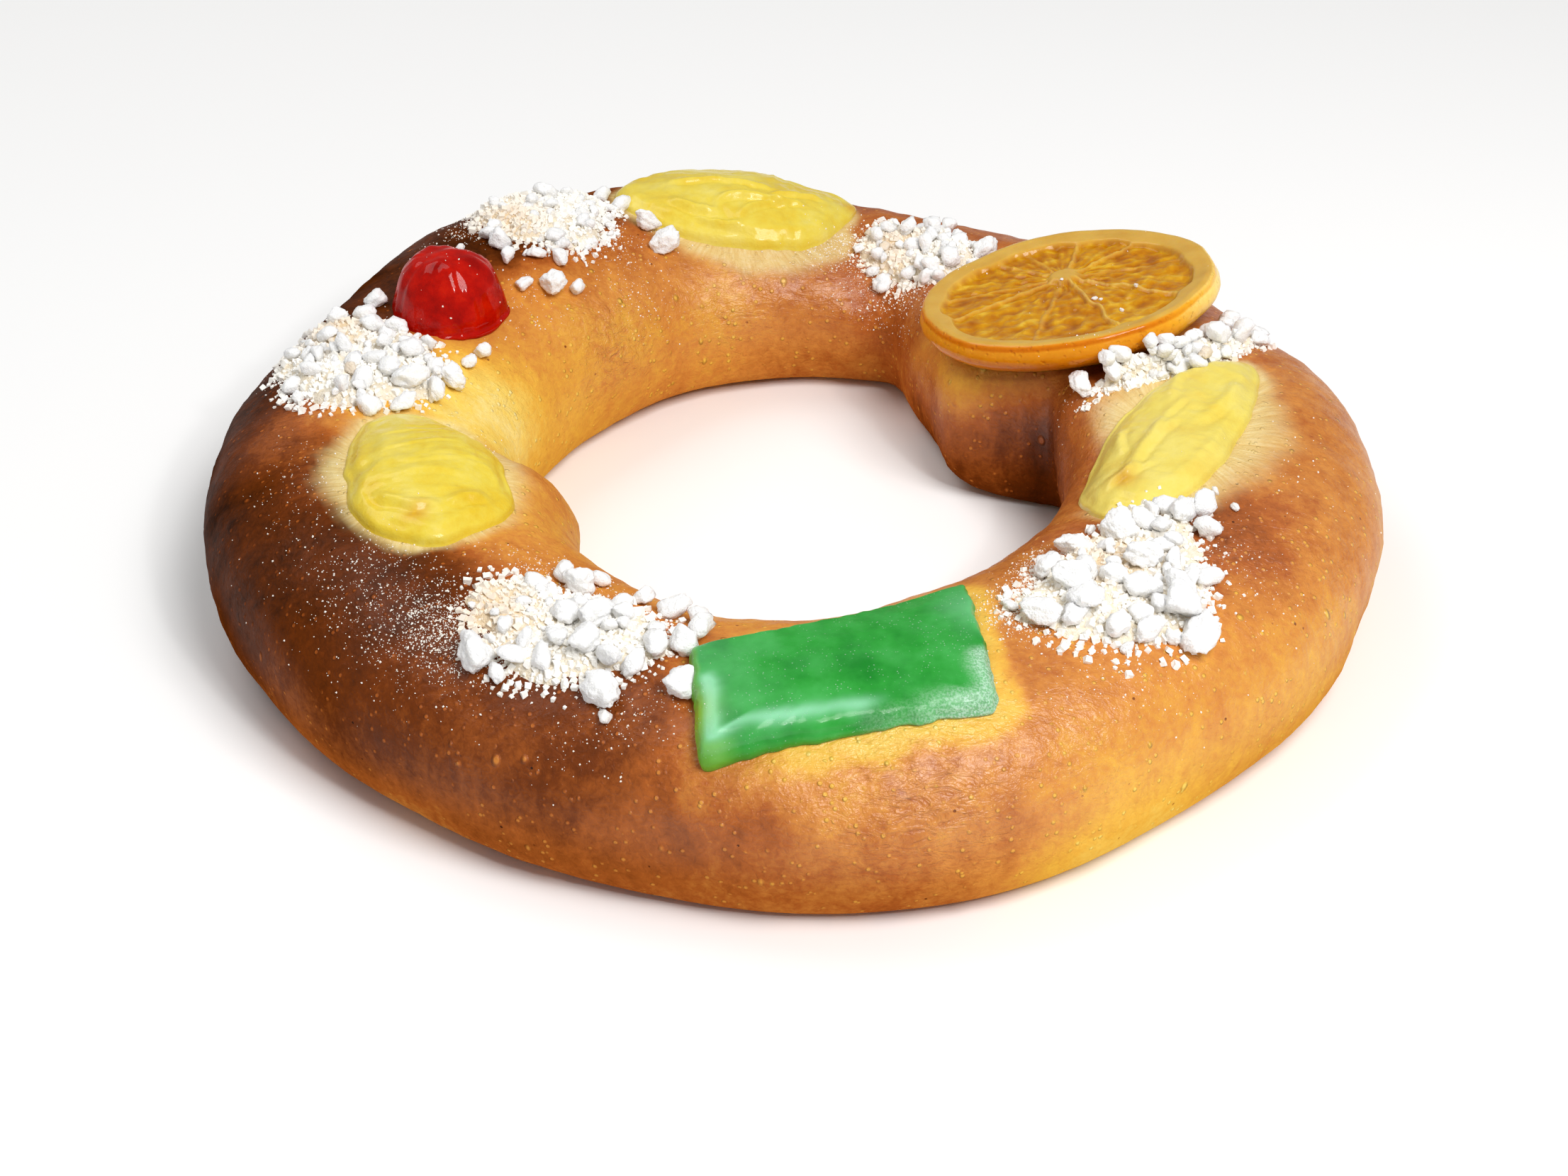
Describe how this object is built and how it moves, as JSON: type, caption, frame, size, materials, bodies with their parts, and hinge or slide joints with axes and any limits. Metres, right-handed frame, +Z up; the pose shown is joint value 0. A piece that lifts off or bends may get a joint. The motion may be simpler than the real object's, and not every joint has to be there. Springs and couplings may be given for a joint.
{
  "type": "roscon de reyes",
  "caption": "Festive ring of golden-brown sweet bread topped with custard pools, candied fruit and heaps of white pearl sugar; rests flat on its base.",
  "frame": {"origin": "under the middle of the whole object's bounding box, on the flat base that it stands on", "axes": "+Z up out of the base, along the axis of the ring's hole; +X to the right and +Y to the back, with the green strip at the front"},
  "size_m": [0.2436, 0.2462, 0.0505],
  "materials": {
    "crust": "egg-washed baked crust, satin with soft gloss",
    "custard": "baked custard cream, glossy skin",
    "candied_orange": "translucent candied orange, sticky gloss",
    "candied_cherry": "translucent candied cherry, wet gloss",
    "candied_green": "translucent candied fruit with fine sugar bloom",
    "sugar": "moistened pearl sugar nibs, matte white"
  },
  "bodies": {
    "root": {"bread": "crust", "custard_left": "custard", "custard_back": "custard", "custard_right": "custard", "cherry": "candied_cherry", "orange_slice": "candied_orange", "green_strip": "candied_green", "sugar_back_left": "sugar", "sugar_left": "sugar", "sugar_front_left": "sugar", "sugar_back_right": "sugar", "sugar_right": "sugar", "sugar_front_right": "sugar"}
  },
  "joints": []
}
